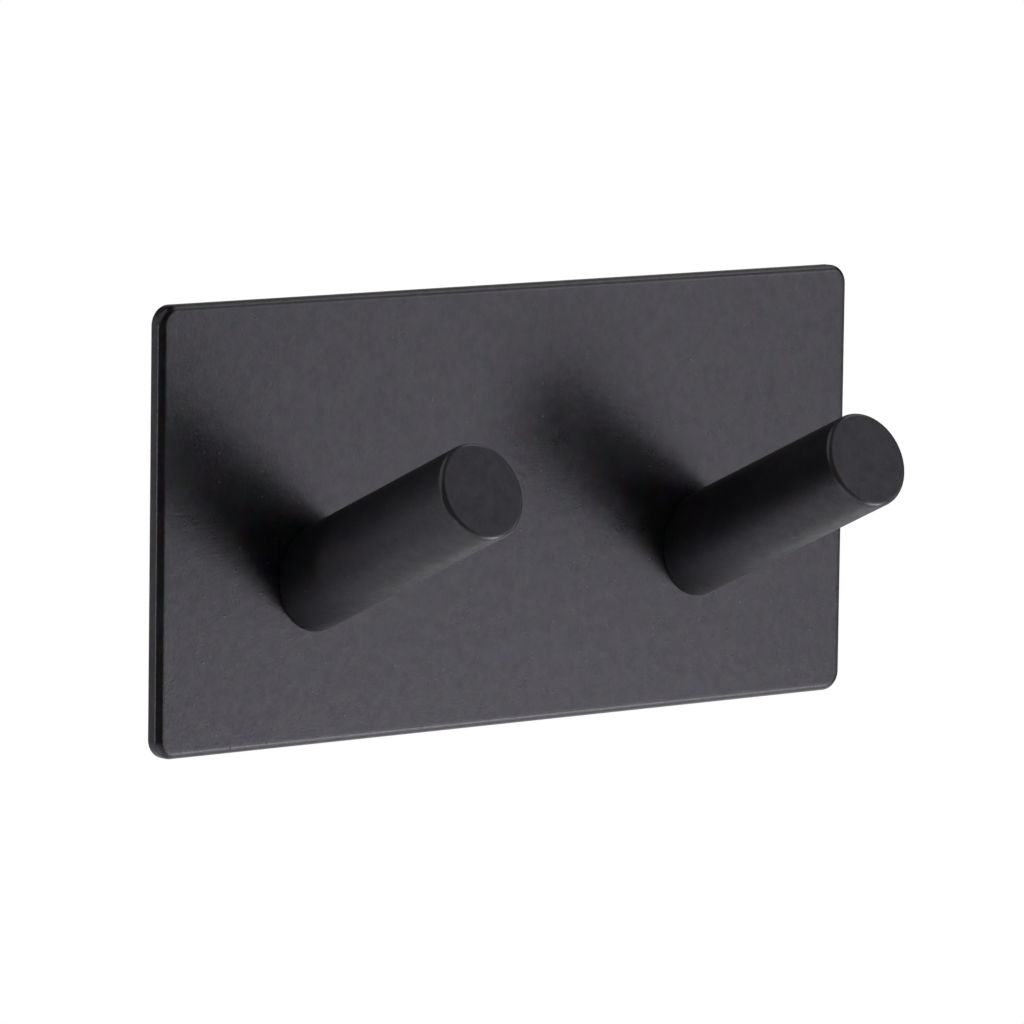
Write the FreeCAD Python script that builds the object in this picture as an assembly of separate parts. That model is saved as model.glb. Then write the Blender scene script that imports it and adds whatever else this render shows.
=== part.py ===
import FreeCAD, Part
import math
import os

# Double robe hook: two round pegs lean up and out from a flat back plate that sticks to the wall.
# Each peg is held from behind by one countersunk screw, and a pip on its foot stops it turning.
# Millimetres. The wall is the plane y = 0, the pegs point toward -Y, +X is right and +Z is up.

# Back plate
plate_width = 90.0
plate_height = 45.0
plate_thickness = 1.8
plate_corner_radius = 2.0
plate_front_round = 0.7  # the front edge is rounded over to this radius
plate_back_break = 0.2

# Pegs
peg_diameter = 10.0
peg_length = 28.1  # along the axis, from the plate's front to the middle of the end
peg_tilt = math.radians(23.7)  # up from square to the plate
peg_inset = 19.9  # from the plate's end to the peg's axis
peg_foot_drop = 5.65  # the axis leaves the plate this far below the plate's middle
peg_end_break = 0.3

# Locating pip on each peg's foot
pip_diameter = 2.0
pip_end_break = 0.25
pip_hole_clearance = 0.1  # on the radius
pip_end_clearance = 0.4  # the pip stops this far short of the plate's back

# Screws, M3 with a flat countersunk head: the thread is drawn at its outer diameter
screw_diameter = 3.0
screw_length = 8.0  # head included
screw_head_diameter = 5.5
screw_head_rim = 0.3
screw_head_half_angle = math.radians(45.0)
screw_tip_break = 0.4
screw_sink = 0.05  # the head lies this far below the plate's back
screw_seat_clearance = 0.02
screw_hole_clearance = 0.2  # on the radius, through the plate

# Cross recess in the screw heads
recess_span = 3.2
recess_slot_width = 0.8
recess_depth = 1.4
recess_wing_angle = math.radians(26.5)

# Tapped hole in each peg
thread_clearance = 0.05  # on the radius
tapped_run_out = 1.0  # hole left beyond the screw's tip
tapped_mouth_break = 0.3
drill_half_angle = math.radians(59.0)

# Foam tape between the plate and the wall
tape_thickness = 1.0
tape_inset = 2.0  # in from the plate's outline
tape_corner_radius = 2.0

# An edge counts as lying in a plane if it strays from it by less than this
flatness = 0.01

# Where the layers lie, going out from the wall
plate_back_y = -tape_thickness
plate_front_y = plate_back_y - plate_thickness
screw_head_y = plate_back_y - screw_sink

# Where a peg's foot, its screw and its pip lie on the plate
peg_radius = peg_diameter / 2
foot_half_height = peg_radius / math.cos(peg_tilt)
thread_reach = screw_sink + screw_length - plate_thickness
tapped_depth = thread_reach + tapped_run_out
# The screw is square to the plate and the peg climbs away from it, so it starts above the peg's axis
screw_z = -peg_foot_drop + tapped_depth * math.tan(peg_tilt) / 2

# The countersink carries the head's cone on to the plate's back
head_radius = screw_head_diameter / 2
head_flare = math.tan(screw_head_half_angle)
countersink_radius = head_radius + (screw_sink + screw_head_rim) * head_flare + screw_seat_clearance
# The pip lies midway between the countersink and the lowest point of the foot
pip_z = ((screw_z - countersink_radius) + (-peg_foot_drop - foot_half_height)) / 2


def turned(profile, x, y, z):
    """Solid of revolution about the line through (x, y, z) along Y, from (radius, distance toward -Y)."""
    points = [FreeCAD.Vector(radius, -distance, 0) for radius, distance in profile]
    section = Part.Face(Part.makePolygon(points + points[:1]))
    solid = section.revolve(FreeCAD.Vector(0, 0, 0), FreeCAD.Vector(0, 1, 0), 360)
    return solid.translated(FreeCAD.Vector(x, y, z))


def rounded_slab(width, height, thickness, corner_radius, back_y):
    """Flat rectangular sheet with rounded corners, centred on the Y axis."""
    corner = FreeCAD.Vector(-width / 2, back_y - thickness, -height / 2)
    slab = Part.makeBox(width, thickness, height, corner)
    corner_edges = [edge for edge in slab.Edges if edge.BoundBox.YLength > thickness / 2]
    return slab.makeFillet(corner_radius, corner_edges)


def edges_at(shape, y):
    """Edges that lie flat in the plane at this y."""
    return [edge for edge in shape.Edges
            if abs(edge.BoundBox.YMin - y) < flatness and abs(edge.BoundBox.YMax - y) < flatness]


def countersunk_hole(x):
    """What a screw's hole takes out of the plate: a clearance hole and a cone open at the back."""
    hole = Part.makeCylinder(screw_diameter / 2 + screw_hole_clearance, plate_thickness,
                             FreeCAD.Vector(x, plate_back_y, screw_z), FreeCAD.Vector(0, -1, 0))
    cone = turned([(0, 0), (countersink_radius, 0), (0, countersink_radius / head_flare)],
                  x, plate_back_y, screw_z)
    return hole.fuse(cone)


def pip_hole(x):
    """What a peg's pip takes out of the plate: a plain hole right through."""
    return Part.makeCylinder(pip_diameter / 2 + pip_hole_clearance, plate_thickness,
                             FreeCAD.Vector(x, plate_back_y, pip_z), FreeCAD.Vector(0, -1, 0))


def back_plate(peg_places):
    plate = rounded_slab(plate_width, plate_height, plate_thickness, plate_corner_radius, plate_back_y)
    plate = plate.makeFillet(plate_front_round, edges_at(plate, plate_front_y))
    plate = plate.makeChamfer(plate_back_break, edges_at(plate, plate_back_y))
    for x in peg_places:
        plate = plate.cut(countersunk_hole(x)).cut(pip_hole(x))
    return plate


def tapped_hole(x):
    """Blind hole in a peg's foot, square to the plate, with a broken mouth and a drill point."""
    radius = screw_diameter / 2 + thread_clearance
    # A thin plate lets the head's cone through, so the mouth is never narrower than the cone there
    cone_at_foot = countersink_radius - plate_thickness * head_flare
    mouth = max(radius + tapped_mouth_break, cone_at_foot)
    point = radius / math.tan(drill_half_angle)
    profile = [(0, 0), (mouth, 0), (radius, (mouth - radius) / head_flare),
               (radius, tapped_depth), (0, tapped_depth + point)]
    return turned(profile, x, plate_front_y, screw_z)


def locating_pip(x):
    """Short stud on a peg's foot that enters the plate, begun inside the peg so that they are one."""
    radius = pip_diameter / 2
    end = plate_thickness - pip_end_clearance
    profile = [(0, radius), (radius, radius), (radius, pip_end_break - end),
               (radius - pip_end_break, -end), (0, -end)]
    return turned(profile, x, plate_front_y, pip_z)


def peg(x):
    """Round bar with a broken end, tilted up, mitred flat against the plate and tapped from the foot."""
    surplus = peg_radius * math.tan(peg_tilt) + peg_radius
    profile = [(0, -surplus), (peg_radius, -surplus), (peg_radius, peg_length - peg_end_break),
               (peg_radius - peg_end_break, peg_length), (0, peg_length)]
    bar = turned(profile, x, plate_front_y, -peg_foot_drop)
    foot = FreeCAD.Vector(x, plate_front_y, -peg_foot_drop)
    bar.rotate(foot, FreeCAD.Vector(1, 0, 0), -math.degrees(peg_tilt))
    block = 2 * (surplus + peg_diameter)
    behind_plate_face = Part.makeBox(block, block, block, foot - FreeCAD.Vector(block / 2, 0, block / 2))
    return bar.cut(behind_plate_face).cut(tapped_hole(x)).fuse(locating_pip(x)).removeSplitter()


def cross_recess(x):
    """Two tapered slots that cross in the middle of a screw's head."""
    half_top = recess_span / 2
    half_bottom = half_top - recess_depth * math.tan(recess_wing_angle)
    outline = [(-half_top, 0), (half_top, 0), (half_bottom, -recess_depth), (-half_bottom, -recess_depth)]
    points = [FreeCAD.Vector(across, deep, -recess_slot_width / 2) for across, deep in outline]
    wing = Part.Face(Part.makePolygon(points + points[:1])).extrude(FreeCAD.Vector(0, 0, recess_slot_width))
    crossing = wing.copy()
    crossing.rotate(FreeCAD.Vector(0, 0, 0), FreeCAD.Vector(0, 1, 0), 90)
    return wing.fuse(crossing).translated(FreeCAD.Vector(x, screw_head_y, screw_z))


def countersunk_screw(x):
    radius = screw_diameter / 2
    cone_end = screw_head_rim + (head_radius - radius) / head_flare
    profile = [(0, 0), (head_radius, 0), (head_radius, screw_head_rim), (radius, cone_end),
               (radius, screw_length - screw_tip_break), (radius - screw_tip_break, screw_length),
               (0, screw_length)]
    return turned(profile, x, screw_head_y, screw_z).cut(cross_recess(x))


def adhesive_pad():
    return rounded_slab(plate_width - 2 * tape_inset, plate_height - 2 * tape_inset,
                        tape_thickness, tape_corner_radius, 0)


def main():
    peg_offset = plate_width / 2 - peg_inset
    places = {"left": -peg_offset, "right": peg_offset}
    pieces = {"back_plate": back_plate(places.values()), "adhesive_pad": adhesive_pad()}
    for side, x in places.items():
        pieces[side + "_peg"] = peg(x)
        pieces[side + "_peg_screw"] = countersunk_screw(x)
    os.makedirs("parts", exist_ok=True)
    for name, shape in pieces.items():
        shape.exportStep("parts/" + name + ".step")
        print(name, "valid", shape.isValid(), "solids", len(shape.Solids), "volume", round(shape.Volume, 1))


main()
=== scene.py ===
import bmesh
import bpy
import numpy as np
from math import cos, pi, radians, sin, tan
from mathutils import Matrix, Vector
from mathutils.geometry import tessellate_polygon


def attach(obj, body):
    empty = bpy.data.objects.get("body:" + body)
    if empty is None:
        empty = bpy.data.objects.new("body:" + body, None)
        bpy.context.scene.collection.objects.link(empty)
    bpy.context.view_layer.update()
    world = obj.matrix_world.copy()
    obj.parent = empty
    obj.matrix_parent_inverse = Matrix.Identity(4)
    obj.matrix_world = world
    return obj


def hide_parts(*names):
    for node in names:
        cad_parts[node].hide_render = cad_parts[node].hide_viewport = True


# Double robe hook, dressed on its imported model. Metres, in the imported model's own frame:
# the wall is the plane y = 0, the pegs point toward -Y, +X is right and +Z is up.
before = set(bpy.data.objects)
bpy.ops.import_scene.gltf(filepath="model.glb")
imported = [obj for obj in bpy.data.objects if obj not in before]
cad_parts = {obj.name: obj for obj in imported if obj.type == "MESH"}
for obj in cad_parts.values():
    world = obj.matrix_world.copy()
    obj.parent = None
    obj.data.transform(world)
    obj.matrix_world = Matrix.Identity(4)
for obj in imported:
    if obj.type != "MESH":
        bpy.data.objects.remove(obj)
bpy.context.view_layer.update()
mm = 0.001
bpy.context.scene.view_settings.view_transform = "Standard"


# Camera, at the photo's viewing angle
cameraSpec = {
    "yaw": 39.49,  # degrees to the left of the plate's normal
    "rise": 6.87,  # degrees above the horizon
    "roll": 0.78,  # degrees
    "distance": 815.80 * mm,
    "target": (1.28 * mm, -1.0 * mm, -0.96 * mm),
    "focalPixels": 8000.0,  # focal length in pixels of the photo
    "photoWidth": 1024.0,
    "sensor": 36.0,  # width in millimetres, as Blender counts it
    "clip": (0.05, 50.0),  # nearest and farthest that the camera sees
}


def makeCamera(spec):
    yaw = radians(spec["yaw"])
    rise = radians(spec["rise"])
    roll = radians(spec["roll"])
    back = Vector((-sin(yaw) * cos(rise), -cos(yaw) * cos(rise), sin(rise)))
    level = (-back).cross(Vector((0, 0, 1))).normalized()
    upright = level.cross(-back)
    right = cos(roll) * level + sin(roll) * upright
    up = cos(roll) * upright - sin(roll) * level
    camera = bpy.data.objects.new("camera", bpy.data.cameras.new("camera"))
    camera.data.sensor_width = spec["sensor"]
    camera.data.lens = spec["focalPixels"] / spec["photoWidth"] * spec["sensor"]
    camera.data.clip_start, camera.data.clip_end = spec["clip"]
    place = Matrix((right, up, back)).transposed().to_4x4()
    place.translation = Vector(spec["target"]) + back * spec["distance"]
    camera.matrix_world = place
    bpy.context.scene.collection.objects.link(camera)
    bpy.context.scene.camera = camera


# Shader tree helpers
def addNode(tree, kind, inputs=None, **settings):
    node = tree.nodes.new(kind)
    for name, value in settings.items():
        setattr(node, name, value)
    for name, value in (inputs or {}).items():
        socket = node.inputs[name]
        if isinstance(value, bpy.types.NodeSocket):
            tree.links.new(value, socket)
        else:
            socket.default_value = value
    return node


def mathNode(tree, operation, *values):
    return addNode(tree, "ShaderNodeMath", dict(enumerate(values)), operation=operation).outputs[0]


def mixColors(tree, factor, first, second):
    return addNode(tree, "ShaderNodeMix", {0: factor, 6: first, 7: second}, data_type="RGBA").outputs[2]


# From low where the factor is 0 to high where it is 1
def spread(tree, factor, low, high):
    return addNode(tree, "ShaderNodeMapRange", {"Value": factor, "To Min": low, "To Max": high}).outputs[0]


# Smooth step from 0 where the value is zeroAt to 1 where it is oneAt
def softStep(tree, value, zeroAt, oneAt):
    return addNode(tree, "ShaderNodeMapRange", {
        "Value": value, "From Min": zeroAt, "From Max": oneAt}, interpolation_type="SMOOTHSTEP").outputs[0]


def newMaterial(name):
    material = bpy.data.materials.new(name)
    material.use_nodes = True
    material.node_tree.nodes.clear()
    return material, material.node_tree


# Studio: soft boxes round the hook, a dim room and a white floor and backdrop.
# Turn is degrees to the right of the plate's normal and rise is degrees above the horizon.
studioSpec = {
    "reach": 800 * mm,  # from the hook to each soft box
    "roomFront": 0.02,
    "roomBehind": 0.34,
    # The room brightens between these two depths of the view direction, -1 in front to 1 behind
    "glow": (0.30, 0.75),
    "skyCut": (0.60, 0.10),  # and dims again from the second of these two heights up to the first
    "floorDrop": 800 * mm,  # the floor lies this far below the hook's middle
    "floorSize": 4.0,
    "floorColor": (0.86, 0.86, 0.86, 1.0),
    "whiteShare": 0.99,  # how much of the floor's look is the photo's plain white, in the camera's eye
    "mirrorShare": 0.54,  # and in what the coat mirrors
}
softBoxes = {
    "keyBox": {"turn": 39.5, "rise": -7, "size": (0.22, 0.22), "radiance": 1.52},
    "lowKeyBox": {"turn": 39.5, "rise": -23, "size": (0.30, 0.22), "radiance": 4.5},
    "lowestBox": {"turn": 42, "rise": -42, "size": (0.42, 0.30), "radiance": 1.5},
    "middleBox": {"turn": 44, "rise": 9, "size": (0.36, 0.20), "radiance": 2.25},
    "highBox": {"turn": 47, "rise": 25, "size": (0.42, 0.24), "radiance": 0.9},
    "sideBox": {"turn": 72, "rise": -7, "size": (0.20, 0.24), "radiance": 1.2},
    "topBox": {"turn": 63, "rise": 49, "size": (0.50, 0.30), "radiance": 1.0},
    "topRimBox": {"turn": 100, "rise": 48, "size": (0.60, 0.40), "radiance": 0.5},
    "lowRimBox": {"turn": 112, "rise": -46, "size": (0.50, 0.30), "radiance": 0.4},
    "edgeBox": {"turn": -112, "rise": -8, "size": (0.10, 0.40), "radiance": 4.0},
    "leftTopBox": {"turn": -105, "rise": 48, "size": (1.00, 1.00), "radiance": 0.5},
    "leftLowBox": {"turn": -85, "rise": -58, "size": (0.60, 0.60), "radiance": 0.6},
    "backBox": {"turn": 180, "rise": 5, "size": (0.50, 0.40), "radiance": 2.0},
}


def makeSoftBox(name, spec, reach):
    turn = radians(spec["turn"])
    rise = radians(spec["rise"])
    lamp = bpy.data.lights.new(name, "AREA")
    lamp.shape = "RECTANGLE"
    lamp.size, lamp.size_y = spec["size"]
    lamp.energy = pi * spec["size"][0] * spec["size"][1] * spec["radiance"]
    box = bpy.data.objects.new(name, lamp)
    box.location = reach * Vector((sin(turn) * cos(rise), -cos(turn) * cos(rise), sin(rise)))
    box.rotation_euler = (-box.location).to_track_quat("-Z", "Y").to_euler()
    box.visible_camera = False
    bpy.context.scene.collection.objects.link(box)


# How white the floor looks: one share for the camera's rays, another for those that a coat or glass sends
# on, and not at all for the rest
def whiteness(tree, spec):
    path = addNode(tree, "ShaderNodeLightPath")
    sentOn = mathNode(tree, "MAXIMUM", path.outputs["Is Glossy Ray"], path.outputs["Is Transmission Ray"])
    mirrored = mathNode(tree, "MULTIPLY", sentOn, spec["mirrorShare"])
    direct = mathNode(tree, "MULTIPLY", path.outputs["Is Camera Ray"], spec["whiteShare"])
    return mathNode(tree, "MAXIMUM", mirrored, direct)


# The room's own light: roomFront + (roomBehind - roomFront) * glow step * sky step, and plain white as the
# camera's background
def makeWorld(spec):
    world = bpy.data.worlds.new("studioRoom")
    world.use_nodes = True
    tree = world.node_tree
    tree.nodes.clear()
    view = addNode(tree, "ShaderNodeTexCoord")
    axes = addNode(tree, "ShaderNodeSeparateXYZ", {0: view.outputs["Generated"]})
    behind = softStep(tree, axes.outputs["Y"], *spec["glow"])
    low = softStep(tree, axes.outputs["Z"], *spec["skyCut"])
    glow = spread(tree, mathNode(tree, "MULTIPLY", behind, low), spec["roomFront"], spec["roomBehind"])
    path = addNode(tree, "ShaderNodeLightPath")
    strength = spread(tree, path.outputs["Is Camera Ray"], glow, 1.0)
    back = addNode(tree, "ShaderNodeBackground", {"Color": (1, 1, 1, 1), "Strength": strength})
    addNode(tree, "ShaderNodeOutputWorld", {"Surface": back.outputs[0]})
    bpy.context.scene.world = world


def makeFloor(spec):
    half = spec["floorSize"] / 2
    low = -spec["floorDrop"]
    mesh = bpy.data.meshes.new("floor")
    mesh.from_pydata([(-half, -half, low), (half, -half, low), (half, half, low), (-half, half, low)],
                     [], [(0, 1, 2, 3)])
    floor = bpy.data.objects.new("floor", mesh)
    bpy.context.scene.collection.objects.link(floor)
    material, tree = newMaterial("paleFloor")
    paint = addNode(tree, "ShaderNodeBsdfDiffuse", {"Color": spec["floorColor"]})
    white = addNode(tree, "ShaderNodeEmission", {"Color": (1, 1, 1, 1), "Strength": 1.0})
    look = addNode(tree, "ShaderNodeMixShader", {
        0: whiteness(tree, spec), 1: paint.outputs[0], 2: white.outputs[0]})
    clear = addNode(tree, "ShaderNodeBsdfTransparent")
    side = addNode(tree, "ShaderNodeNewGeometry")
    oneWay = addNode(tree, "ShaderNodeMixShader", {
        0: side.outputs["Backfacing"], 1: look.outputs[0], 2: clear.outputs[0]})
    addNode(tree, "ShaderNodeOutputMaterial", {"Surface": oneWay.outputs[0]})
    mesh.materials.append(material)


makeCamera(cameraSpec)
makeWorld(studioSpec)
makeFloor(studioSpec)
for boxName, boxSpec in softBoxes.items():
    makeSoftBox(boxName, boxSpec, studioSpec["reach"])
print("studio and camera ready")


# Surfaces. A skin is a list of patches that share their border points: grids and flat faces.

# Quads between the rows of a grid of points, whose columns run all the way round
def gridPatch(points):
    rows, columns = points.shape[:2]
    row, column = np.meshgrid(np.arange(rows - 1), np.arange(columns), indexing="ij")
    here = row * columns + column
    beside = row * columns + (column + 1) % columns
    quads = np.stack((here, beside, beside + columns, here + columns), axis=-1)
    return points.reshape(-1, 3), quads.reshape(-1, 4)


# Triangles over a flat outline, less its holes
def flatPatch(outline, *holes):
    loops = (outline,) + holes
    triangles = tessellate_polygon([[Vector(point) for point in loop] for loop in loops])
    return np.concatenate(loops), np.array(triangles)


# A polyline whose inner corners are softened: each becomes a quadratic curve that starts one reach
# before the corner and ends one reach after it
def softened(corners, reach, steps):
    corners = np.asarray(corners, float)
    before = corners[:-2] - corners[1:-1]
    after = corners[2:] - corners[1:-1]
    before *= reach / np.linalg.norm(before, axis=1, keepdims=True)
    after *= reach / np.linalg.norm(after, axis=1, keepdims=True)
    t = np.linspace(0, 1, steps + 1)[None, :, None]
    curves = corners[1:-1, None] + (1 - t) ** 2 * before[:, None] + t ** 2 * after[:, None]
    return np.concatenate((corners[:1], curves.reshape(-1, corners.shape[1]), corners[-1:]))


# Quarter circle as (inset, rise) from (0, 0) to (radius, radius)
def quarterRound(radius, steps):
    angle = np.linspace(0, pi / 2, steps + 1)
    return np.stack((radius * (1 - np.cos(angle)), radius * np.sin(angle)), axis=1)


# Circle of points about the line through (x, z) along Y, at the height y
def ringPoints(x, y, z, radius, count):
    angle = np.arange(count) * 2 * pi / count
    return np.stack((x + radius * np.cos(angle), np.full(count, y), z + radius * np.sin(angle)), axis=1)


# Surface of revolution about the same line: one ring for each (radius, y) of the profile
def turnedPatch(profile, x, z, count):
    return gridPatch(np.stack([ringPoints(x, y, z, radius, count) for radius, y in profile]))


# Rectangle with rounded corners as points and their outward directions, in the plane of the plate
def slabOutline(width, height, radius, steps):
    angle = np.linspace(0, pi / 2, steps + 1) + np.arange(4)[:, None] * pi / 2
    outward = np.stack((np.cos(angle), np.zeros_like(angle), np.sin(angle)), axis=-1)
    side = np.array([(1, 1), (-1, 1), (-1, -1), (1, -1)])
    center = np.zeros((4, 1, 3))
    center[:, 0, 0] = side[:, 0] * (width / 2 - radius)
    center[:, 0, 2] = side[:, 1] * (height / 2 - radius)
    return (center + radius * outward).reshape(-1, 3), outward.reshape(-1, 3)


# Rings of the outline, each moved inward and set at its height y by one (inset, y) of the rim profile
def rimPoints(outline, outward, profile):
    profile = np.asarray(profile)
    rings = outline[None] - outward[None] * profile[:, 0, None, None]
    rings[:, :, 1] = profile[:, 1, None]
    return rings


weldDistance = 0.0001 * mm
creaseAngle = radians(35)  # an edge sharper than this keeps its sharp shading


# One closed object from its patches: shared borders are welded and faces turned outward
def makePiece(name, patches, materials):
    vertices = []
    faces = []
    count = 0
    for points, polygons in patches:
        vertices.append(points)
        faces.extend((polygons + count).tolist())
        count += len(points)
    mesh = bpy.data.meshes.new(name)
    mesh.from_pydata(np.concatenate(vertices).tolist(), [], faces)
    shell = bmesh.new()
    shell.from_mesh(mesh)
    bmesh.ops.remove_doubles(shell, verts=shell.verts, dist=weldDistance)
    bmesh.ops.recalc_face_normals(shell, faces=shell.faces)
    shell.to_mesh(mesh)
    shell.free()
    mesh.shade_smooth()
    mesh.set_sharp_from_angle(angle=creaseAngle)
    for material in materials:
        mesh.materials.append(material)
    piece = bpy.data.objects.new(name, mesh)
    bpy.context.scene.collection.objects.link(piece)
    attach(piece, "root")
    return piece


# Shader groups that the finishes share

# Empty group with its sockets: (name, kind, starting value) for each input, (name, kind) for each output
def newGroup(name, inputs, outputs):
    group = bpy.data.node_groups.new(name, "ShaderNodeTree")
    for socketName, kind, value in inputs:
        socket = group.interface.new_socket(socketName, in_out="INPUT", socket_type=kind)
        if value is not None:
            socket.default_value = value
    for socketName, kind in outputs:
        group.interface.new_socket(socketName, in_out="OUTPUT", socket_type=kind)
    return group, group.nodes.new("NodeGroupInput"), group.nodes.new("NodeGroupOutput")


def useGroup(tree, group, inputs):
    return addNode(tree, "ShaderNodeGroup", inputs, node_tree=group)


# Signed distance |x| - offset from the nearer of the planes x = offset and x = -offset
def sideways(tree, axes, offset):
    return mathNode(tree, "SUBTRACT", mathNode(tree, "ABSOLUTE", axes.outputs["X"]), offset)


# Square root of across * across + up * up
def distance(tree, across, up):
    square = mathNode(tree, "MULTIPLY_ADD", across, across, mathNode(tree, "MULTIPLY", up, up))
    return mathNode(tree, "SQRT", square)


# Noise from 0 to 1, whose lumps measure about the given size across; fineness is how strong each finer
# layer is beside the one before it
def lumps(tree, vector, size, detail, fineness):
    scale = mathNode(tree, "DIVIDE", 1.0, size)
    return addNode(tree, "ShaderNodeTexNoise", {
        "Vector": vector, "Scale": scale, "Detail": detail, "Roughness": fineness}).outputs[0]


# Height of a sprayed or foamed skin: fine grain plus broad waves, each scaled by its share
def reliefGroup():
    group, start, end = newGroup("skinRelief", [
        ("Vector", "NodeSocketVector", None), ("Grain Size", "NodeSocketFloat", 0.25 * mm),
        ("Wave Size", "NodeSocketFloat", 1.2 * mm), ("Grain Share", "NodeSocketFloat", 0.3),
        ("Wave Share", "NodeSocketFloat", 0.7)], [("Height", "NodeSocketFloat")])
    grain = lumps(group, start.outputs["Vector"], start.outputs["Grain Size"], detail=1.0, fineness=0.5)
    wave = lumps(group, start.outputs["Vector"], start.outputs["Wave Size"], detail=2.0, fineness=0.6)
    fine = mathNode(group, "MULTIPLY", grain, start.outputs["Grain Share"])
    height = mathNode(group, "MULTIPLY_ADD", wave, start.outputs["Wave Share"], fine)
    group.links.new(height, end.inputs["Height"])
    return group


# Cloudy patches from 0 to 1 round a middle of 0.5: 0.5 + contrast * (noise - 0.5), clipped
def mottleGroup():
    group, start, end = newGroup("cloudyPatches", [
        ("Vector", "NodeSocketVector", None), ("Patch Size", "NodeSocketFloat", 7 * mm),
        ("Contrast", "NodeSocketFloat", 2.0)], [("Factor", "NodeSocketFloat")])
    cloud = lumps(group, start.outputs["Vector"], start.outputs["Patch Size"], detail=5.0, fineness=0.85)
    around = mathNode(group, "SUBTRACT", cloud, 0.5)
    factor = addNode(group, "ShaderNodeMath", {
        0: around, 1: start.outputs["Contrast"], 2: 0.5}, operation="MULTIPLY_ADD", use_clamp=True)
    group.links.new(factor.outputs[0], end.inputs["Factor"])
    return group


# Tint that strays from white by its own amount in red, green and blue: 1 + contrast * (noise - 0.5)
def tintGroup():
    group, start, end = newGroup("cloudyTint", [
        ("Vector", "NodeSocketVector", None), ("Patch Size", "NodeSocketFloat", 3 * mm),
        ("Contrast", "NodeSocketFloat", 4.0)], [("Tint", "NodeSocketVector")])
    scale = mathNode(group, "DIVIDE", 1.0, start.outputs["Patch Size"])
    cloud = addNode(group, "ShaderNodeTexNoise", {
        "Vector": start.outputs["Vector"], "Scale": scale, "Detail": 4.0, "Roughness": 0.75})
    around = addNode(group, "ShaderNodeVectorMath", {0: cloud.outputs["Color"], 1: (0.5, 0.5, 0.5)},
                     operation="SUBTRACT")
    scaled = addNode(group, "ShaderNodeVectorMath", {
        0: around.outputs[0], "Scale": start.outputs["Contrast"]}, operation="SCALE")
    tint = addNode(group, "ShaderNodeVectorMath", {
        0: scaled.outputs[0], 1: (1.0, 1.0, 1.0)}, operation="ADD")
    group.links.new(tint.outputs[0], end.inputs["Tint"])
    return group


# Sparse round specks in a Share of the cells of noise, one cell being about a Spacing across: 1 at the
# cell's point, falling to 0 at the speck's edge, which lies up to a Radius away
def speckGroup():
    group, start, end = newGroup("straySpecks", [
        ("Vector", "NodeSocketVector", None), ("Spacing", "NodeSocketFloat", 2 * mm),
        ("Radius", "NodeSocketFloat", 0.1 * mm), ("Share", "NodeSocketFloat", 0.2)],
        [("Mask", "NodeSocketFloat")])
    scale = mathNode(group, "DIVIDE", 1.0, start.outputs["Spacing"])
    cells = addNode(group, "ShaderNodeTexVoronoi", {"Vector": start.outputs["Vector"], "Scale": scale})
    draw = addNode(group, "ShaderNodeSeparateColor", {0: cells.outputs["Color"]})
    chosen = mathNode(group, "LESS_THAN", draw.outputs[0], start.outputs["Share"])
    size = mathNode(group, "MULTIPLY", start.outputs["Radius"], scale)
    reach = mathNode(group, "MULTIPLY", size, draw.outputs[1])
    inside = softStep(group, cells.outputs["Distance"], reach, 0.0)
    mask = mathNode(group, "MULTIPLY", inside, chosen)
    group.links.new(mask, end.inputs["Mask"])
    return group


# How near a point lies to the lower edge of a plate of the given half height, from 0 at Reach to 1 at it,
# and to two points at |x| = Foot X, z = Foot Z, from 0 at Foot Outer to 1 at Foot Inner
def placesGroup():
    group, start, end = newGroup("paleEdgeAndDustPlaces", [
        ("Vector", "NodeSocketVector", None), ("Half Height", "NodeSocketFloat", 22.5 * mm),
        ("Reach", "NodeSocketFloat", 1 * mm), ("Foot X", "NodeSocketFloat", 25 * mm),
        ("Foot Z", "NodeSocketFloat", -5 * mm), ("Foot Inner", "NodeSocketFloat", 5 * mm),
        ("Foot Outer", "NodeSocketFloat", 10 * mm)],
        [("Edge", "NodeSocketFloat"), ("Foot", "NodeSocketFloat")])
    axes = addNode(group, "ShaderNodeSeparateXYZ", {0: start.outputs["Vector"]})
    inset = mathNode(group, "ADD", start.outputs["Half Height"], axes.outputs["Z"])
    edge = softStep(group, inset, start.outputs["Reach"], 0.0)
    across = sideways(group, axes, start.outputs["Foot X"])
    up = mathNode(group, "SUBTRACT", axes.outputs["Z"], start.outputs["Foot Z"])
    away = distance(group, across, up)
    foot = softStep(group, away, start.outputs["Foot Outer"], start.outputs["Foot Inner"])
    group.links.new(edge, end.inputs["Edge"])
    group.links.new(foot, end.inputs["Foot"])
    return group


# Where the pale rim of a peg's end, rubbed coat with a painted highlight, starts and where it is full, in
# Breaks inside the end's corner
paleRimStart = 1.4
paleRimFull = 0.8


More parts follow.
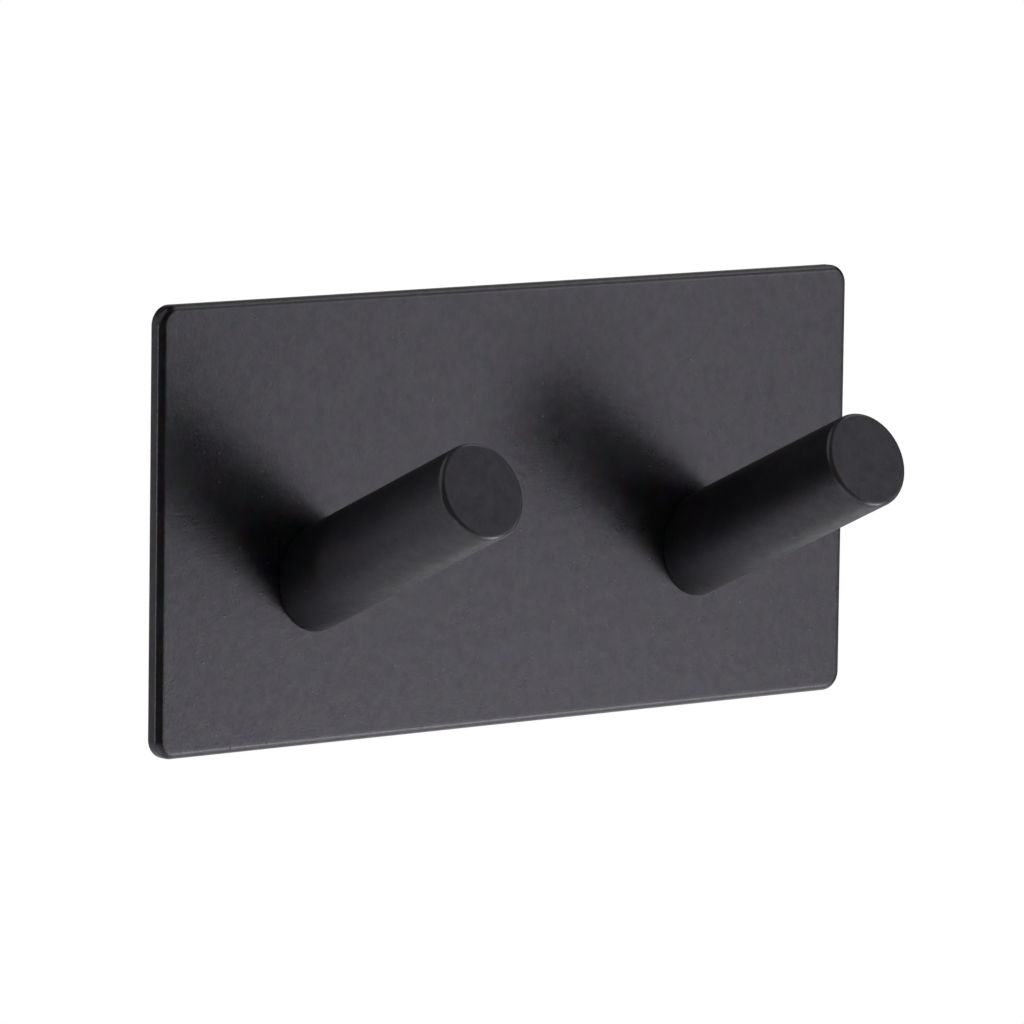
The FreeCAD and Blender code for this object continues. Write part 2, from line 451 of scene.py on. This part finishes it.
# Rim of a tilted peg's end, 1 on its broken edge and 0 away from it: the product of two soft steps, one
# over the distance along the axis and one over the distance from it
def endsGroup():
    group, start, end = newGroup("paleEndRims", [
        ("Vector", "NodeSocketVector", None), ("Foot X", "NodeSocketFloat", 25 * mm),
        ("Foot Y", "NodeSocketFloat", -3 * mm), ("Foot Z", "NodeSocketFloat", -5 * mm),
        ("Tilt", "NodeSocketFloat", 0.4), ("Radius", "NodeSocketFloat", 5 * mm),
        ("Length", "NodeSocketFloat", 28 * mm), ("Break", "NodeSocketFloat", 0.3 * mm)],
        [("Rim", "NodeSocketFloat")])
    axes = addNode(group, "ShaderNodeSeparateXYZ", {0: start.outputs["Vector"]})
    across = sideways(group, axes, start.outputs["Foot X"])
    out = mathNode(group, "SUBTRACT", start.outputs["Foot Y"], axes.outputs["Y"])
    up = mathNode(group, "SUBTRACT", axes.outputs["Z"], start.outputs["Foot Z"])
    sine = mathNode(group, "SINE", start.outputs["Tilt"])
    cosine = mathNode(group, "COSINE", start.outputs["Tilt"])
    along = mathNode(group, "MULTIPLY_ADD", out, cosine, mathNode(group, "MULTIPLY", up, sine))
    above = mathNode(group, "SUBTRACT", mathNode(group, "MULTIPLY", up, cosine),
                     mathNode(group, "MULTIPLY", out, sine))
    near = []
    for reach, limit in ((along, "Length"), (distance(group, across, above), "Radius")):
        inner = mathNode(group, "MULTIPLY_ADD", start.outputs["Break"], -paleRimStart, start.outputs[limit])
        outer = mathNode(group, "MULTIPLY_ADD", start.outputs["Break"], -paleRimFull, start.outputs[limit])
        near.append(softStep(group, reach, inner, outer))
    group.links.new(mathNode(group, "MULTIPLY", *near), end.inputs["Rim"])
    return group


relief = reliefGroup()
mottle = mottleGroup()
tints = tintGroup()
specks = speckGroup()
places = placesGroup()
ends = endsGroup()

# Coating: satin black powder, clouded a little in tone and hue, with fine grain and faint waves. Stray
# dust sits mostly below the pegs' feet. The plate's lower edge and the rims of the pegs' ends are painted
# paler, as rubbed coat and as a painted highlight.
coatingSpec = {
    "shadeColor": (0.0070, 0.0070, 0.0080, 1.0),
    "pigmentColor": (0.0245, 0.0225, 0.0260, 1.0),
    "dustColor": (0.11, 0.11, 0.115, 1.0),
    # Pale colour of the rubbed places, also a painted highlight on the plate's lower edge and the end rims
    "wearAndHighlightColor": (0.16, 0.16, 0.165, 1.0),
    "gloss": (0.0, 0.28),  # weight of a thin glossier film, in clouds
    "glossRoughness": 0.3,
    "glossPatch": 1.3 * mm,
    "glossContrast": 4.0,
    "refraction": 1.60,
    "tonePatch": 5 * mm,
    "toneContrast": 1.8,
    "tintPatch": 2.2 * mm,
    "grainSize": 0.28 * mm,
    "waveSize": 1.1 * mm,
    "grainShare": 0.35,
    "waveShare": 0.65,
    "reliefDepth": 0.024 * mm,
    "dustSpacing": 0.9 * mm,
    "dustRadius": 0.17 * mm,
    "dustShare": (0.14, 0.6),  # far from the pegs' feet, and at them
    "dustDrop": 2.2 * mm,  # it lies mostly below the feet
    "dustReach": (5.5 * mm, 8.5 * mm),  # from there it thins out between these two distances
    # How far and how strongly the plate's lower edge is painted paler: rubbed coat and painted highlight
    "paleEdgeReach": 1.2 * mm,
    "paleEdgeShare": 0.5,
    "paleRimShare": 0.35,  # how pale the broken edges of the pegs' ends are painted: bared coat and painted highlight
    "rimRoughness": 0.2,
}
# Each coat's shine tint colours its reflections bluish, a painted cool cast of light
plateCoat = {"paintedLightTint": (0.888, 0.850, 1.0, 1.0), "roughness": (0.25, 0.33), "tintContrast": 3.5}
# The pegs' round sides took a drier, more even coat
pegCoat = {"paintedLightTint": (0.850, 0.825, 1.0, 1.0), "roughness": (0.44, 0.52), "tintContrast": 1.7}


# Base colour is the tone between shade and pigment times the tint, then the pale places (rubbed coat and
# painted highlight) and dust over it; the roughness follows the same tone
def makeCoating(name, spec, coat, plate, peg):
    material, tree = newMaterial(name)
    place = addNode(tree, "ShaderNodeTexCoord").outputs["Object"]
    zones = useGroup(tree, places, {
        "Vector": place, "Half Height": plate["height"] / 2, "Reach": spec["paleEdgeReach"],
        "Foot X": peg["spacing"] / 2, "Foot Z": -peg["footDrop"] - spec["dustDrop"],
        "Foot Inner": spec["dustReach"][0], "Foot Outer": spec["dustReach"][1]})
    rim = useGroup(tree, ends, {
        "Vector": place, "Foot X": peg["spacing"] / 2, "Foot Y": plate["back"] - plate["thickness"],
        "Foot Z": -peg["footDrop"], "Tilt": peg["tilt"], "Radius": peg["diameter"] / 2,
        "Length": peg["length"], "Break": peg["endBreak"]}).outputs[0]
    tone = useGroup(tree, mottle, {
        "Vector": place, "Patch Size": spec["tonePatch"], "Contrast": spec["toneContrast"]}).outputs[0]
    tint = useGroup(tree, tints, {
        "Vector": place, "Patch Size": spec["tintPatch"], "Contrast": coat["tintContrast"]}).outputs[0]
    film = useGroup(tree, mottle, {
        "Vector": place, "Patch Size": spec["glossPatch"], "Contrast": spec["glossContrast"]}).outputs[0]
    dust = useGroup(tree, specks, {
        "Vector": place, "Spacing": spec["dustSpacing"], "Radius": spec["dustRadius"],
        "Share": spread(tree, zones.outputs["Foot"], *spec["dustShare"])}).outputs[0]
    skin = useGroup(tree, relief, {
        "Vector": place, "Grain Size": spec["grainSize"], "Wave Size": spec["waveSize"],
        "Grain Share": spec["grainShare"], "Wave Share": spec["waveShare"]}).outputs[0]
    plain = mixColors(tree, tone, spec["shadeColor"], spec["pigmentColor"])
    paint = addNode(tree, "ShaderNodeVectorMath", {0: plain, 1: tint}, operation="MULTIPLY").outputs[0]
    # Painted paler along the plate's lower edge: rubbed coat and painted highlight
    paleEdge = mathNode(tree, "MULTIPLY", mathNode(tree, "MULTIPLY", zones.outputs["Edge"], tone),
                      spec["paleEdgeShare"])
    # The pegs' end rims are painted paler too: bared coat and painted highlight
    paleMarks = mathNode(tree, "MULTIPLY_ADD", rim, spec["paleRimShare"], paleEdge)
    wornAndHighlighted = mixColors(tree, paleMarks, paint, spec["wearAndHighlightColor"])
    height = mathNode(tree, "ADD", skin, dust)
    bump = addNode(tree, "ShaderNodeBump", {
        "Height": height, "Distance": spec["reliefDepth"], "Strength": 1.0})
    sheen = addNode(tree, "ShaderNodeMix", {
        "Factor": rim, "A": spread(tree, tone, *coat["roughness"]), "B": spec["rimRoughness"]})
    shader = addNode(tree, "ShaderNodeBsdfPrincipled", {
        "Base Color": mixColors(tree, dust, wornAndHighlighted, spec["dustColor"]), "Roughness": sheen.outputs[0],
        "Normal": bump.outputs[0], "IOR": spec["refraction"], "Specular Tint": coat["paintedLightTint"],
        "Coat Weight": spread(tree, film, *spec["gloss"]), "Coat Roughness": spec["glossRoughness"]})
    addNode(tree, "ShaderNodeOutputMaterial", {"Surface": shader.outputs[0]})
    return material


# Screw steel: bright zinc plate, cloudy, with the fine rings that turning leaves round the screw's axis
screwSteelSpec = {
    "darkColor": (0.52, 0.53, 0.54, 1.0),
    "lightColor": (0.72, 0.73, 0.72, 1.0),
    "roughness": (0.22, 0.38),
    "patchSize": 0.9 * mm,
    "patchContrast": 2.5,
    "ringPitch": 0.12 * mm,
    "ringDepth": 0.004 * mm,
}


# Rings round both screws' axes: sine of 2 pi * distance / pitch, from the nearer axis at |x| = offset and
# z = height. Patches set the tone and the roughness.
def makeScrewSteel(spec, offset, height):
    material, tree = newMaterial("platedScrewSteel")
    place = addNode(tree, "ShaderNodeTexCoord").outputs["Object"]
    axes = addNode(tree, "ShaderNodeSeparateXYZ", {0: place})
    up = mathNode(tree, "SUBTRACT", axes.outputs["Z"], height)
    radius = distance(tree, sideways(tree, axes, offset), up)
    rings = mathNode(tree, "SINE", mathNode(tree, "MULTIPLY", radius, 2 * pi / spec["ringPitch"]))
    patches = useGroup(tree, mottle, {
        "Vector": place, "Patch Size": spec["patchSize"], "Contrast": spec["patchContrast"]}).outputs[0]
    bump = addNode(tree, "ShaderNodeBump", {
        "Height": rings, "Distance": spec["ringDepth"], "Strength": 1.0})
    shader = addNode(tree, "ShaderNodeBsdfPrincipled", {
        "Base Color": mixColors(tree, patches, spec["darkColor"], spec["lightColor"]),
        "Metallic": 1.0, "Roughness": spread(tree, patches, *spec["roughness"]),
        "Normal": bump.outputs[0]})
    addNode(tree, "ShaderNodeOutputMaterial", {"Surface": shader.outputs[0]})
    return material


# Tape: grey closed-cell foam at its cut edge, and a tacky film of clear glue over it on both faces
foamSpec = {
    "darkColor": (0.055, 0.055, 0.058, 1.0),
    "lightColor": (0.095, 0.095, 0.10, 1.0),
    "roughness": (0.75, 0.9),
    "patchSize": 0.6 * mm,
    "patchContrast": 3.0,
    "cellSize": 0.18 * mm,
    "waveSize": 0.7 * mm,
    "cellShare": 0.7,
    "waveShare": 0.3,
    "reliefDepth": 0.05 * mm,
}
glueSpec = {
    "darkColor": (0.048, 0.048, 0.052, 1.0),
    "lightColor": (0.095, 0.095, 0.098, 1.0),
    "bubbleColor": (0.19, 0.19, 0.195, 1.0),
    "roughness": (0.30, 0.55),
    "patchSize": 8 * mm,
    "patchContrast": 2.5,
    "grainSize": 0.5 * mm,
    "waveSize": 3 * mm,
    "grainShare": 0.3,
    "waveShare": 0.7,
    "reliefDepth": 0.03 * mm,
    "reliefStrength": 0.6,
    "bubbleSpacing": 1.4 * mm,
    "bubbleRadius": 0.45 * mm,
    "bubbleShare": 0.35,
    "tackWeight": 0.25,
    "tackRoughness": 0.25,
}


# Patches set the tone, and the cells set both the height and the roughness
def makeFoam(spec):
    material, tree = newMaterial("foamTapeEdge")
    place = addNode(tree, "ShaderNodeTexCoord").outputs["Object"]
    patches = useGroup(tree, mottle, {
        "Vector": place, "Patch Size": spec["patchSize"], "Contrast": spec["patchContrast"]}).outputs[0]
    cells = useGroup(tree, relief, {
        "Vector": place, "Grain Size": spec["cellSize"], "Wave Size": spec["waveSize"],
        "Grain Share": spec["cellShare"], "Wave Share": spec["waveShare"]}).outputs[0]
    bump = addNode(tree, "ShaderNodeBump", {
        "Height": cells, "Distance": spec["reliefDepth"], "Strength": 1.0})
    shader = addNode(tree, "ShaderNodeBsdfPrincipled", {
        "Base Color": mixColors(tree, patches, spec["darkColor"], spec["lightColor"]),
        "Roughness": spread(tree, cells, *spec["roughness"]), "Normal": bump.outputs[0]})
    addNode(tree, "ShaderNodeOutputMaterial", {"Surface": shader.outputs[0]})
    return material


# Patches set the tone and the roughness. The height is the wavy film less the bubbles, which are paler.
def makeGlue(spec):
    material, tree = newMaterial("foamTapeGlue")
    place = addNode(tree, "ShaderNodeTexCoord").outputs["Object"]
    patches = useGroup(tree, mottle, {
        "Vector": place, "Patch Size": spec["patchSize"], "Contrast": spec["patchContrast"]}).outputs[0]
    bubbles = useGroup(tree, specks, {
        "Vector": place, "Spacing": spec["bubbleSpacing"], "Radius": spec["bubbleRadius"],
        "Share": spec["bubbleShare"]}).outputs[0]
    film = useGroup(tree, relief, {
        "Vector": place, "Grain Size": spec["grainSize"], "Wave Size": spec["waveSize"],
        "Grain Share": spec["grainShare"], "Wave Share": spec["waveShare"]}).outputs[0]
    tone = mixColors(tree, patches, spec["darkColor"], spec["lightColor"])
    bump = addNode(tree, "ShaderNodeBump", {
        "Height": mathNode(tree, "SUBTRACT", film, bubbles), "Distance": spec["reliefDepth"],
        "Strength": spec["reliefStrength"]})
    shader = addNode(tree, "ShaderNodeBsdfPrincipled", {
        "Base Color": mixColors(tree, bubbles, tone, spec["bubbleColor"]),
        "Roughness": spread(tree, patches, *spec["roughness"]), "Normal": bump.outputs[0],
        "Coat Weight": spec["tackWeight"], "Coat Roughness": spec["tackRoughness"]})
    addNode(tree, "ShaderNodeOutputMaterial", {"Surface": shader.outputs[0]})
    return material


# Sizes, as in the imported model: each piece's place follows from those of the pieces that it is fitted to
plateSpec = {
    "width": 90 * mm,
    "height": 45 * mm,
    "thickness": 1.8 * mm,
    "back": -1.0 * mm,  # y of the back face, against the tape
    "cornerRadius": 2.0 * mm,
    "frontRound": 0.7 * mm,
    "backBreak": 0.2 * mm,
    "backSoftening": 0.06 * mm,
    "cornerSteps": 16,
    "roundSteps": 12,
    "softSteps": 4,
    "guard": 0.3 * mm,  # a flat margin inside each rim keeps the flat's shading flat
    "holeSteps": 64,
}
pegSpec = {
    "spacing": 50.2 * mm,
    "diameter": 10 * mm,
    "length": 28.1 * mm,
    "tilt": radians(23.7),
    "footDrop": 5.65 * mm,
    "endBreak": 0.3 * mm,
    "endSoftening": 0.19 * mm,
    "footSoftening": 0.18 * mm,
    "around": 128,
    "rings": 12,
    "softSteps": 4,
    "guard": 0.3 * mm,
}
pipSpec = {
    "diameter": 2.0 * mm,
    "endGap": 0.4 * mm,  # the pip stops this far short of the plate's back
    "endBreak": 0.25 * mm,
    "clearance": 0.1 * mm,
}
screwSpec = {
    "diameter": 3.0 * mm,
    "length": 8.0 * mm,
    "headDiameter": 5.5 * mm,
    "headRim": 0.3 * mm,
    "tipBreak": 0.4 * mm,
    "sink": 0.05 * mm,
    "seatClearance": 0.02 * mm,
    "holeClearance": 0.2 * mm,
    "threadPitch": 0.5 * mm,
    "threadDepth": 0.307 * mm,
    "crestStart": 0.875,  # the thread's crest is flat where its wave is above this
    "rootEnd": 0.25,  # and its root where the wave is below this
    "ringsPerTurn": 10,
    "around": 64,
    "recessSpan": 3.2 * mm,
    "recessSlot": 0.8 * mm,
    "recessDepth": 1.4 * mm,
    "recessAngle": radians(26.5),
}
boreSpec = {
    "clearance": 0.05 * mm,  # on the radius, round the screw
    "runOut": 1.0 * mm,
    "mouthBreak": 0.3 * mm,
    "drillAngle": radians(59),
}
pegPlaces = {"left": -pegSpec["spacing"] / 2, "right": pegSpec["spacing"] / 2}
plateFront = plateSpec["back"] - plateSpec["thickness"]
boreDepth = screwSpec["sink"] + screwSpec["length"] - plateSpec["thickness"] + boreSpec["runOut"]
screwZ = -pegSpec["footDrop"] + boreDepth * tan(pegSpec["tilt"]) / 2
screwHead = plateSpec["back"] - screwSpec["sink"]  # y of the head's face
sinkRadius = (screwSpec["headDiameter"] / 2 + screwSpec["sink"] + screwSpec["headRim"]
              + screwSpec["seatClearance"])
footHalfHeight = pegSpec["diameter"] / 2 / cos(pegSpec["tilt"])
pipZ = (screwZ - sinkRadius - pegSpec["footDrop"] - footHalfHeight) / 2
plateCoating = makeCoating("plateBlackCoating", coatingSpec, plateCoat, plateSpec, pegSpec)
pegCoating = makeCoating("pegBlackCoating", coatingSpec, pegCoat, plateSpec, pegSpec)
screwSteel = makeScrewSteel(screwSteelSpec, pegSpec["spacing"] / 2, screwZ)
foam = makeFoam(foamSpec)
glue = makeGlue(glueSpec)
print("finishes ready")


# Back plate: its outline drawn inward and forward along a rim profile, from the broken back edge over the
# rounded front edge, then closed by flat faces with the holes behind each peg
def makePlate(spec):
    outline, outward = slabOutline(spec["width"], spec["height"], spec["cornerRadius"],
                                   spec["cornerSteps"])
    back = spec["back"]
    brokenEdge = softened([(spec["backBreak"] + spec["guard"], back), (spec["backBreak"], back),
                           (0, back - spec["backBreak"]),
                           (0, (back - spec["backBreak"] + plateFront + spec["frontRound"]) / 2)],
                          spec["backSoftening"], spec["softSteps"])
    over = quarterRound(spec["frontRound"], spec["roundSteps"])
    over[:, 1] = plateFront + spec["frontRound"] - over[:, 1]
    flat = np.array([(spec["frontRound"] + spec["guard"], plateFront)])
    rim = rimPoints(outline, outward, np.concatenate((brokenEdge, over, flat)))
    screwRadius = screwSpec["diameter"] / 2 + screwSpec["holeClearance"]
    pipRadius = pipSpec["diameter"] / 2 + pipSpec["clearance"]
    coneEnd = back - (sinkRadius - screwRadius)
    screwHole = [(sinkRadius, back), (screwRadius, coneEnd), (screwRadius, plateFront)]
    pipHole = [(pipRadius, back), (pipRadius, plateFront)]
    patches = [gridPatch(rim)]
    backHoles = []
    frontHoles = []
    for x in pegPlaces.values():
        for profile, z in ((screwHole, screwZ), (pipHole, pipZ)):
            patches.append(turnedPatch(profile, x, z, spec["holeSteps"]))
            backHoles.append(ringPoints(x, back, z, profile[0][0], spec["holeSteps"]))
            frontHoles.append(ringPoints(x, plateFront, z, profile[-1][0], spec["holeSteps"]))
    patches.append(flatPatch(rim[0], *backHoles))
    patches.append(flatPatch(rim[-1], *frontHoles))
    plate = makePiece("plateShell", patches, [plateCoating])
    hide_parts("back_plate")


# Peg: rings round the tilted axis. Ring angle a and distance s along the axis give the point
# foot + s * axis + radius * (cos a * across + sin a * upward), and the foot ring lies in the plate's face
# where s = radius * sin a * tan(tilt).
def makePeg(side, x, spec):
    radius = spec["diameter"] / 2
    tilt = spec["tilt"]
    foot = np.array((x, plateFront, -spec["footDrop"]))
    axis = np.array((0, -cos(tilt), sin(tilt)))
    across = np.array((1, 0, 0))
    upward = np.array((0, sin(tilt), cos(tilt)))
    angle = np.arange(spec["around"]) * 2 * pi / spec["around"]
    spoke = np.cos(angle)[:, None] * across + np.sin(angle)[:, None] * upward
    footDistance = radius * np.sin(angle)[:, None] * tan(tilt)
    corner = foot + footDistance * axis + radius * spoke
    inward = foot - corner
    inward /= np.linalg.norm(inward, axis=1, keepdims=True)
    t = np.linspace(0, 1, spec["softSteps"] + 1)[:, None, None]
    soft = spec["footSoftening"]
    footEdge = corner + soft * ((1 - t) ** 2 * inward + t ** 2 * axis)
    endProfile = softened([(radius, spec["length"] - spec["endBreak"] - spec["guard"]),
                           (radius, spec["length"] - spec["endBreak"]),
                           (radius - spec["endBreak"], spec["length"]),
                           (radius - spec["endBreak"] - spec["guard"], spec["length"])],
                          spec["endSoftening"], spec["softSteps"])
    share = np.linspace(0, 1, spec["rings"] + 1)[1:-1, None, None]
    start = footDistance + soft
    wall = foot + (start + share * (endProfile[0, 1] - start)) * axis + radius * spoke
    end = foot + endProfile[:, 1, None, None] * axis + endProfile[:, 0, None, None] * spoke
    skin = np.concatenate((footEdge, wall, end))
    count = plateSpec["holeSteps"]
    boreRadius = screwSpec["diameter"] / 2 + boreSpec["clearance"]
    mouth = boreRadius + boreSpec["mouthBreak"]
    point = boreRadius / tan(boreSpec["drillAngle"])
    bore = [(mouth, plateFront), (boreRadius, plateFront - boreSpec["mouthBreak"]),
            (boreRadius, plateFront - boreDepth), (0, plateFront - boreDepth - point)]
    pipRadius = pipSpec["diameter"] / 2
    pipEnd = plateSpec["back"] - pipSpec["endGap"]
    pip = [(pipRadius, plateFront), (pipRadius, pipEnd - pipSpec["endBreak"]),
           (pipRadius - pipSpec["endBreak"], pipEnd), (0, pipEnd)]
    patches = [gridPatch(skin), flatPatch(skin[-1]),
               turnedPatch(bore, x, screwZ, count), turnedPatch(pip, x, pipZ, count),
               flatPatch(skin[0], ringPoints(x, plateFront, screwZ, mouth, count),
                         ringPoints(x, plateFront, pipZ, pipRadius, count))]
    peg = makePiece(side + "PegBar", patches, [pegCoating])
    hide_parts(side + "_peg")


# Cross of two slots as points about (x, z): each arm has two outer corners and shares its inner ones
def crossPoints(x, y, z, halfSpan, halfSlot):
    arm = np.array(((halfSpan, -halfSlot), (halfSpan, halfSlot), (halfSlot, halfSlot)))
    cross = np.concatenate((arm, arm[:, ::-1] * (-1, 1), -arm, arm[:, ::-1] * (1, -1)))
    return np.stack((x + cross[:, 0], np.full(len(cross), y), z + cross[:, 1]), axis=1)


# Screw: the thread is a grid over the turn angle a and the distance y from the head, whose radius is the
# thread's outer radius less its depth times a flattened triangle wave of y / pitch - a / turn
def makeScrew(side, x, spec):
    radius = spec["diameter"] / 2
    headRadius = spec["headDiameter"] / 2
    count = spec["around"]
    coneEnd = spec["headRim"] + headRadius - radius
    tipStart = spec["length"] - spec["tipBreak"]
    rows = int((tipStart - coneEnd) / spec["threadPitch"] * spec["ringsPerTurn"])
    along = np.linspace(coneEnd, tipStart, rows)[:, None]
    angle = np.arange(count) * 2 * pi / count
    phase = (along / spec["threadPitch"] - angle / (2 * pi)) % 1
    wave = abs(2 * phase - 1)
    cut = np.clip((spec["crestStart"] - wave) / (spec["crestStart"] - spec["rootEnd"]), 0, 1)
    runIn = np.clip(np.minimum(along - coneEnd, tipStart - along) / spec["threadPitch"], 0, 1)
    threadRadius = radius - spec["threadDepth"] * cut * runIn
    thread = np.stack((x + threadRadius * np.cos(angle), screwHead - along + 0 * angle,
                       screwZ + threadRadius * np.sin(angle)), axis=-1)
    head = [(headRadius, screwHead), (headRadius, screwHead - spec["headRim"]),
            (radius, screwHead - coneEnd)]
    tip = [(radius, screwHead - tipStart), (radius - spec["tipBreak"], screwHead - spec["length"]),
           (0, screwHead - spec["length"])]
    top = crossPoints(x, screwHead, screwZ, spec["recessSpan"] / 2, spec["recessSlot"] / 2)
    flare = spec["recessDepth"] * tan(spec["recessAngle"])
    bottom = crossPoints(x, screwHead - spec["recessDepth"], screwZ, spec["recessSpan"] / 2 - flare,
                         spec["recessSlot"] / 2)
    patches = [turnedPatch(head, x, screwZ, count), gridPatch(thread), turnedPatch(tip, x, screwZ, count),
               gridPatch(np.stack((top, bottom))), flatPatch(bottom),
               flatPatch(ringPoints(x, screwHead, screwZ, headRadius, count), top)]
    screw = makePiece(side + "PegScrew", patches, [screwSteel])
    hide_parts(side + "_peg_screw")


tapeSpec = {
    "thickness": 1.0 * mm,
    "inset": 2.0 * mm,
    "cornerRadius": 2.0 * mm,
    "glueFilm": 0.06 * mm,
    "waist": 0.05 * mm,  # the cut edge is a little hollow
    "raggedness": 0.07 * mm,
    "pointSpacing": 0.3 * mm,
    "rows": 10,
    "seed": 11,
    "faceShare": 0.99,  # glue covers the faces whose normal has at least this share across the tape
}


# Tape: the cut edge of the foam is drawn in by a hollow, waist * sin(pi * v) with v from film to film, and
# by ragged cells, raggedness * smoothed noise. The glue films at both faces keep the full outline.
def makeTape(spec):
    outline, outward = slabOutline(
        plateSpec["width"] - 2 * spec["inset"], plateSpec["height"] - 2 * spec["inset"],
        spec["cornerRadius"], plateSpec["cornerSteps"])
    closed = np.concatenate((outline, outline[:1]))
    reach = np.concatenate(((0,), np.cumsum(np.linalg.norm(np.diff(closed, axis=0), axis=1))))
    count = int(reach[-1] / spec["pointSpacing"])
    stations = np.arange(count) * reach[-1] / count
    closedOutward = np.concatenate((outward, outward[:1]))
    dense = np.stack([np.interp(stations, reach, closed[:, k]) for k in range(3)], axis=1)
    facing = np.stack([np.interp(stations, reach, closedOutward[:, k]) for k in range(3)], axis=1)
    film = spec["glueFilm"]
    core = spec["thickness"] - 2 * film
    inner = film + np.linspace(0, 1, spec["rows"])[1:-1] * core
    depth = np.concatenate(((0, film), inner, (spec["thickness"] - film, spec["thickness"])))
    hollow = np.sin(pi * np.clip((depth - film) / core, 0, 1))
    isFoam = (depth > film) & (depth < spec["thickness"] - film)
    cells = np.random.default_rng(spec["seed"]).random((len(depth), count))
    cells = (cells + np.roll(cells, 1, axis=1) + np.roll(cells, -1, axis=1)) / 3
    inset = spec["waist"] * hollow[:, None] + spec["raggedness"] * cells * isFoam[:, None]
    rings = dense[None] - facing[None] * inset[:, :, None]
    rings[:, :, 1] = -depth[:, None]
    patches = [gridPatch(rings), flatPatch(rings[0]), flatPatch(rings[-1])]
    tape = makePiece("foamTape", patches, [foam, glue])
    normals = np.empty(len(tape.data.polygons) * 3)
    tape.data.polygons.foreach_get("normal", normals)
    onFace = (abs(normals.reshape(-1, 3)[:, 1]) > spec["faceShare"]).astype(np.int32)
    tape.data.polygons.foreach_set("material_index", onFace)
    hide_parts("adhesive_pad")


makePlate(plateSpec)
print("plate made")
for pegSide, pegX in pegPlaces.items():
    makePeg(pegSide, pegX, pegSpec)
    makeScrew(pegSide, pegX, screwSpec)
print("pegs and screws made")
makeTape(tapeSpec)
print("tape made")
